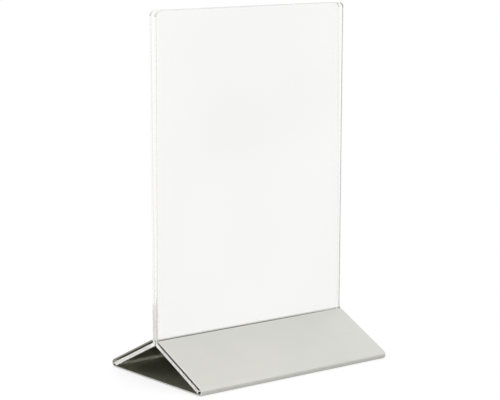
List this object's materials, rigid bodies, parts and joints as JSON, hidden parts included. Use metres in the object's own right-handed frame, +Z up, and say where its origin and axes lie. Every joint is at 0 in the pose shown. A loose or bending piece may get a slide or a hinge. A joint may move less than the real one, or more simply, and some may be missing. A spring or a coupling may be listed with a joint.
{
  "type": "table-top sign stand",
  "caption": "Table-top sign stand: folded satin steel base of triangular end profile, open at both ends, holding two bent clear acrylic panels with a card pocket between them.",
  "frame": {"origin": "on the surface that the stand rests on, under the middle of the base", "axes": "+X along the base, to the right seen from the front; +Y to the rear; +Z up"},
  "size_m": [0.155, 0.098, 0.237],
  "materials": {
    "satin_steel": "fine satin stainless steel, brushed along the base, darker on the inside of the fold",
    "clear_acrylic": "clear polished acrylic sheet, with matt sawn edges"
  },
  "bodies": {
    "base": {"base_shell": "satin_steel"},
    "front_sheet": {"front_panel": "clear_acrylic"},
    "rear_sheet": {"rear_panel": "clear_acrylic"}
  },
  "joints": [
    {"name": "front_slide", "type": "slide", "parent": "base", "child": "front_sheet", "axis": [1, 0, 0], "range_m": [-0.16, 0.16]},
    {"name": "rear_slide", "type": "slide", "parent": "base", "child": "rear_sheet", "axis": [1, 0, 0], "range_m": [-0.16, 0.16]}
  ]
}
